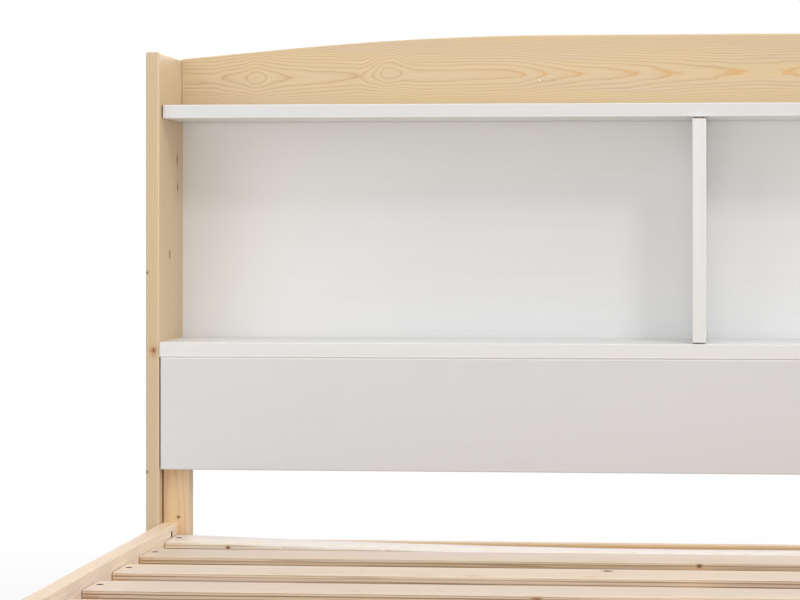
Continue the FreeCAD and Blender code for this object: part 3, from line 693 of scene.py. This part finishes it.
for number in range(1, slat_count + 1):
    slat_low, slat_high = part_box(f"slat_{number:02d}")
    slat_middle = (slat_low + slat_high) / 2
    for cleat_low, cleat_high in cleats:
        spot = Vector(((cleat_low.x + cleat_high.x) / 2, slat_middle.y + screw_off_middle, slat_high.z))
        turn = Matrix.Rotation(random.Random(number).uniform(0.0, math.pi / 2), 4, "Z")
        screw_places.append(Matrix.Translation(spot) @ turn)
screws = copies(screw, "slat_screw_set", screw_places)
zinc = metal("zinc_steel", (0.56, 0.55, 0.53), 0.42, 5.0)
# The screws and the barrel nuts are near black and matte rather than zinc-grey: painted shade, the dark of the
# holes and recesses they sit in.
shade_dark_zinc = metal("zinc_steel_painted_shade", (0.040, 0.036, 0.032), 0.85, 9.0, metallic=0.0, specular=0.12)
finish_piece(screws, "frame", shade_dark_zinc, "slat_screws")


# Centre beam, its legs and its hangers.
# A squared pine beam carries the middle of the slats. Its ends lie in cradles of folded steel plate,
# and three pine legs stand under it.
beam_nodes = {"centre_beam": "YZX", "centre_leg_1": "ZXY", "centre_leg_2": "ZXY", "centre_leg_3": "ZXY"}
beam_heart = (-0.020, -0.030)
leg_heart = (0.010, -0.035)
for number, (node, grain) in enumerate(beam_nodes.items()):
    low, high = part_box(node)
    across, deep = ["XYZ".index(letter) for letter in grain[1:]]
    off = beam_heart if node == "centre_beam" else leg_heart
    heart = (low[across] + off[0], low[deep] + off[1])
    dress(node, pine(f"raw_pine_{node}", (low, high), grain, heart, ring=0.0045, pale=RAW_PALE, late=RAW_LATE,
                     contrast=0.75, roughness=0.6, seed=190.0 + 5.0 * number))
dress("beam_hangers", zinc)


# Bolts and barrel nuts.
# Flat-headed bolts with a hexagon socket pass through the posts into barrel nuts in the rails.
# A nut is a short steel bar, cross-drilled, with a slot in its end to turn it in line with the bolt.
dress("bed_bolts", zinc)
nut_radius = 0.005
nut_length = 0.0166
nut_sink = 0.0004
nut_ease = 0.0006
nut_slot = 0.0014
nut_bore_radius = 0.0033
nut_from_end = 0.031
side_nut_drops = (0.012, 0.098)
foot_nut_drops = (0.036, 0.072)
touch = 1e-5
rail_low, rail_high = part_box("left_side_rail")
nut_end = (rail_high.x - rail_low.x) / 2 - nut_sink
nut_middle = nut_end - nut_length / 2
bpy.ops.mesh.primitive_cylinder_add(vertices=28, radius=nut_radius, depth=nut_length,
                                    location=(0.0, 0.0, nut_middle))
nut = bpy.context.object
bpy.ops.object.transform_apply(location=True)
bpy.ops.object.mode_set(mode="EDIT")
pick(nut, "edges", lambda middle, way: abs(way.z) < 0.5
     and abs(abs(middle.z - nut_middle) - nut_length / 2) < touch)
bpy.ops.mesh.bevel(offset=nut_ease, segments=2)
bpy.ops.object.mode_set(mode="OBJECT")
bpy.ops.mesh.primitive_cube_add(size=1.0, location=(0.0, 0.0, nut_end))
saw = bpy.context.object
saw.scale = (nut_slot, 3 * nut_radius, 2 * nut_slot)
bpy.ops.object.transform_apply(location=True, scale=True)
cut_with(nut, saw)
bpy.ops.mesh.primitive_cylinder_add(vertices=20, radius=nut_bore_radius, depth=4 * nut_radius,
                                    rotation=(math.pi / 2, 0.0, 0.0))
drill = bpy.context.object
bpy.ops.object.transform_apply(rotation=True)
cut_with(nut, drill)
nut_places = []
for node, inward in (("left_side_rail", 1.0), ("right_side_rail", -1.0)):
    low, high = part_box(node)
    for y in (low.y + nut_from_end, high.y - nut_from_end):
        for drop in side_nut_drops:
            spot = Vector(((low.x + high.x) / 2, y, high.z - drop))
            nut_places.append(Matrix.Translation(spot) @ Matrix.Rotation(inward * math.pi / 2, 4, "Y"))
low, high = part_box("foot_rail")
for x in (low.x + nut_from_end, high.x - nut_from_end):
    for drop in foot_nut_drops:
        spot = Vector((x, (low.y + high.y) / 2, high.z - drop))
        turn = Matrix.Rotation(-math.pi / 2, 4, "X") @ Matrix.Rotation(math.pi / 2, 4, "Z")
        nut_places.append(Matrix.Translation(spot) @ turn)
nuts = copies(nut, "barrel_nut_set", nut_places)
# The nuts take the same near-black finish, the painted shade of their holes.
finish_piece(nuts, "frame", shade_dark_zinc, "barrel_nuts")


# Dowels.
# Turned beech pegs, glued into the ends of the headboard's boards and into the side panels.
# They are hidden in their holes.
BEECH_PALE = (0.62, 0.42, 0.26)
BEECH_LATE = (0.50, 0.31, 0.17)
dress("dowels", pine("beech_dowels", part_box("dowels"), "XYZ", (0.0, -0.5), ring=0.0022, pale=BEECH_PALE,
                     late=BEECH_LATE, contrast=0.5, roughness=0.6, seed=230.0))


# Floor glides.
# Small moulded plastic discs, nailed under the panels, posts and legs to keep the wood off the floor.
# Black, with the dull skin of a mould.
def plastic(name, colour, seed):
    """Moulded plastic: fine mould grain, dust-grey on the rubbed places."""
    material, tree, shader, place = new_finish(name)
    skin = cloud(tree, place, (1400.0, 1400.0, 1400.0), seed, detail=2.0)
    rub = cloud(tree, place, (60.0, 60.0, 60.0), seed + 2.0, detail=3.0)
    rubbed = tuple(part + 0.055 for part in colour)
    ground = mix(tree, fade(tree, rub, 0.5, 0.75), opaque(colour), opaque(rubbed))
    coat(tree, shader, ground, calc(tree, "MULTIPLY_ADD", rub, 0.25, 0.36), skin, 0.2, 0.0002)
    return material


black_plastic = plastic("black_plastic", (0.022, 0.022, 0.023), 3.0)
dress("floor_glides", black_plastic)


# Drawer fronts.
# Boards in the same satin white as the shelves, with a rounded finger scoop in the top edge.
# They fill the space under the side rail and hide the drawer boxes.
drawers = ("head_drawer", "foot_drawer")
for number, drawer in enumerate(drawers):
    node = f"{drawer}_front"
    dress(node, white_paint(f"white_paint_{node}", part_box(node), "Y", SHELF_WHITE, 31.0 + 6.0 * number))


# Drawer boxes.
# Sides and back of thin sanded pine round a plywood bottom that slides into grooves.
# The plywood's face veneer runs along the drawer, and its layers show where it is cut.
PLY_PALE = (0.740, 0.575, 0.395)
PLY_LATE = (0.620, 0.430, 0.255)
PLY_CORE = (0.430, 0.270, 0.140)


def plywood(name, box, seed):
    """Thin plywood: a plain-sliced face and the darker cross layer in its cut edge."""
    material, tree, shader, place = new_finish(name)
    axes = add(tree, "SeparateXYZ", {0: place}).outputs
    figure = cloud(tree, place, (14.0, 1.4, 14.0), seed, detail=3.0)
    fibre = cloud(tree, place, (520.0, 10.0, 520.0), seed + 4.0, detail=2.0)
    bands = calc(tree, "FRACT", calc(tree, "MULTIPLY", figure, 9.0))
    colour = mix(tree, fade(tree, bands, 0.55, 0.95, 0.0, 0.55), opaque(PLY_PALE), opaque(PLY_LATE))
    colour = scaled(tree, colour, calc(tree, "MULTIPLY_ADD", fibre, 0.2, 0.9))
    facing = add(tree, "SeparateXYZ", {0: add(tree, "NewGeometry").outputs["Normal"]}).outputs[2]
    cut_edge = fade(tree, calc(tree, "ABSOLUTE", facing), 0.6, 0.3)
    third = (box[1].z - box[0].z) / 3
    layer = calc(tree, "FLOOR", calc(tree, "DIVIDE", calc(tree, "SUBTRACT", axes[2], box[0].z), third))
    core = calc(tree, "COMPARE", layer, 1.0, 0.1)
    colour = mix(tree, calc(tree, "MULTIPLY", cut_edge, core), colour, opaque(PLY_CORE))
    coat(tree, shader, colour, calc(tree, "MULTIPLY_ADD", fibre, 0.15, 0.5), fibre, 0.15, 0.0004)
    return material


box_parts = {"left_side": "XZY", "right_side": "XZY", "back": "YZX"}
box_heart_below = 0.01
box_heart_behind = 0.05
for number, drawer in enumerate(drawers):
    for place, (part, grain) in enumerate(box_parts.items()):
        node = f"{drawer}_{part}"
        low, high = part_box(node)
        heart = (low.z - box_heart_below, low["XYZ".index(grain[2])] - box_heart_behind)
        dress(node, pine(f"raw_pine_{node}", (low, high), grain, heart, ring=0.0048, pale=RAW_PALE, late=RAW_LATE,
                         contrast=0.7, wander=0.05, roughness=0.6, seed=240.0 + 9.0 * place + 31.0 * number))
    bottom = f"{drawer}_bottom"
    dress(bottom, plywood(f"drawer_ply_{bottom}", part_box(bottom), 7.0 + 5.0 * number))
    dress(f"{drawer}_axles", zinc)


# Drawer wheels.
# Moulded black wheels with a rounded tread, a dished web with lightening holes, and a hub.
# Each turns on a shoulder screw in the drawer's side.
wheel_radius = 0.020
wheel_width = 0.014
tread_ease = 0.0025
dish_depth = 0.0022
rim_inset = 0.0026
hub_radius = 0.008
bore_radius = 0.0041
hole_radius = 0.0020
hole_ring = 0.0116
hole_count = 6
bpy.ops.mesh.primitive_cylinder_add(vertices=48, radius=wheel_radius, depth=wheel_width)
wheel = bpy.context.object
bpy.ops.object.mode_set(mode="EDIT")
pick(wheel, "edges", lambda middle, way: abs(way.z) < 0.5 and abs(abs(middle.z) - wheel_width / 2) < touch)
bpy.ops.mesh.bevel(offset=tread_ease, segments=4)
for side in (-1.0, 1.0):
    pick(wheel, "faces", lambda middle, facing: facing.z * side > 0.99)
    bpy.ops.mesh.inset(thickness=rim_inset)
    bpy.ops.mesh.extrude_region_move(TRANSFORM_OT_translate={"value": (0.0, 0.0, -side * dish_depth)})
    bpy.ops.mesh.inset(thickness=wheel_radius - tread_ease - rim_inset - hub_radius)
    bpy.ops.mesh.extrude_region_move(TRANSFORM_OT_translate={"value": (0.0, 0.0, side * dish_depth)})
    bpy.ops.mesh.inset(thickness=hub_radius - bore_radius)
pick(wheel, "faces", lambda middle, facing: abs(facing.z) > 0.99 and middle.xy.length < touch
     and middle.length < wheel_width / 2 + 10 * touch)
bpy.ops.mesh.bridge_edge_loops()
bpy.ops.object.mode_set(mode="OBJECT")
for number in range(hole_count):
    angle = 2 * math.pi * number / hole_count
    bpy.ops.mesh.primitive_cylinder_add(
        vertices=16, radius=hole_radius, depth=2 * wheel_width,
        location=(hole_ring * math.cos(angle), hole_ring * math.sin(angle), 0.0))
    drill = bpy.context.object
    bpy.ops.object.transform_apply(location=True)
    cut_with(wheel, drill)
for drawer in drawers:
    for place in ("rear", "front"):
        node = f"{drawer}_{place}_wheels"
        low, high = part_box(node)
        middle = (low + high) / 2
        upright = Matrix.Rotation(math.pi / 2, 4, "X")
        spots = [Vector((middle.x, y, middle.z)) for y in (low.y + wheel_width / 2, high.y - wheel_width / 2)]
        pattern = wheel.copy()
        pattern.data = wheel.data.copy()
        pair = copies(pattern, f"{node}_moulded", [Matrix.Translation(spot) @ upright for spot in spots])
        finish_piece(pair, node, black_plastic, node)
bpy.data.objects.remove(wheel)


# Studio.
# A pale floor that fades into white and even light all round. A key light stands high on the right,
# and larger soft lights fill from the front, the left, the right, above and behind.
WHITE = (1.0, 1.0, 1.0)
FLOOR_PALE = (0.86, 0.86, 0.86)
floor_size = 24.0
floor_near = 1.3
floor_far = 3.2
floor_squeeze = (1.0, 0.8, 0.0)
floor_least_white = 0.45
sky_light = 0.29


def seen_white(tree):
    """1 where the backdrop is looked at, straight or in gloss or glass, and 0 where it only gives light."""
    rays = add(tree, "LightPath").outputs
    mirrored = calc(tree, "MAXIMUM", rays["Is Glossy Ray"], rays["Is Transmission Ray"])
    return calc(tree, "MAXIMUM", rays["Is Camera Ray"], mirrored)


bpy.ops.mesh.primitive_plane_add(size=floor_size, location=(0.0, 0.0, 0.0))
floor = bpy.context.object
floor.name = "studio_floor"
bpy.ops.object.transform_apply(location=True)
floor_paint, tree, paper, place = new_finish("studio_floor")
paper.inputs["Base Color"].default_value = opaque(FLOOR_PALE)
paper.inputs["Roughness"].default_value = 0.8
glow = add(tree, "Emission", {"Color": opaque(WHITE), "Strength": 1.0})
reach = distance(tree, calc_vector(tree, "MULTIPLY", place, floor_squeeze))
white = fade(tree, reach, floor_near, floor_far, floor_least_white, 1.0)
share = calc(tree, "MULTIPLY", seen_white(tree), white)
both = add(tree, "MixShader", {0: share, 1: paper.outputs[0], 2: glow.outputs[0]})
tree.links.new(both.outputs[0], tree.nodes["Material Output"].inputs["Surface"])
floor.data.materials.append(floor_paint)

world = bpy.data.worlds.new("studio")
bpy.context.scene.world = world
world.use_nodes = True
tree = world.node_tree
sky = tree.nodes["Background"]
sky.inputs["Color"].default_value = opaque(WHITE)
strength = calc(tree, "MULTIPLY_ADD", seen_white(tree), 1.0 - sky_light, sky_light)
tree.links.new(strength, sky.inputs["Strength"])


def soft_light(name, location, target, width, height, watts):
    """A rectangular lamp that faces a target."""
    lamp = bpy.data.lights.new(name, "AREA")
    lamp.shape = "RECTANGLE"
    lamp.size = width
    lamp.size_y = height
    lamp.energy = watts
    holder = bpy.data.objects.new(name, lamp)
    holder.location = location
    holder.rotation_euler = (Vector(target) - Vector(location)).to_track_quat("-Z", "Y").to_euler()
    bpy.context.scene.collection.objects.link(holder)


soft_light("key_light", (1.90, -2.45, 3.8), (-0.35, 1.04, 0.74), 0.8, 0.7, 39.0)
soft_light("right_light", (6.4, -0.56, 1.3), (-0.7, 0.9, 0.5), 2.2, 2.2, 123.0)
soft_light("front_light", (-0.4, -3.6, 0.65), (-0.35, 0.9, 0.65), 2.2, 1.0, 24.8)
soft_light("left_light", (-2.6, -2.4, 1.9), (0.0, 0.9, 0.6), 2.0, 2.0, 27.0)
soft_light("overhead_light", (0.0, 0.0, 3.4), (0.0, 0.0, 0.0), 3.0, 3.0, 55.0)
soft_light("back_light", (0.2, 3.6, 1.7), (0.0, 0.8, 0.3), 3.0, 1.6, 34.0)

camera_data = bpy.data.cameras.new("camera")
camera_data.sensor_width = 36.0
camera_data.lens = 111.15
camera_data.shift_x = -0.14
camera_data.shift_y = -0.096
camera = bpy.data.objects.new("camera", camera_data)
camera.location = (0.0170, -2.3226, 0.7438)
camera.rotation_euler = (math.radians(90.0), 0.0, math.radians(4.635))
bpy.context.scene.collection.objects.link(camera)
bpy.context.scene.camera = camera
bpy.context.scene.view_settings.view_transform = "Standard"
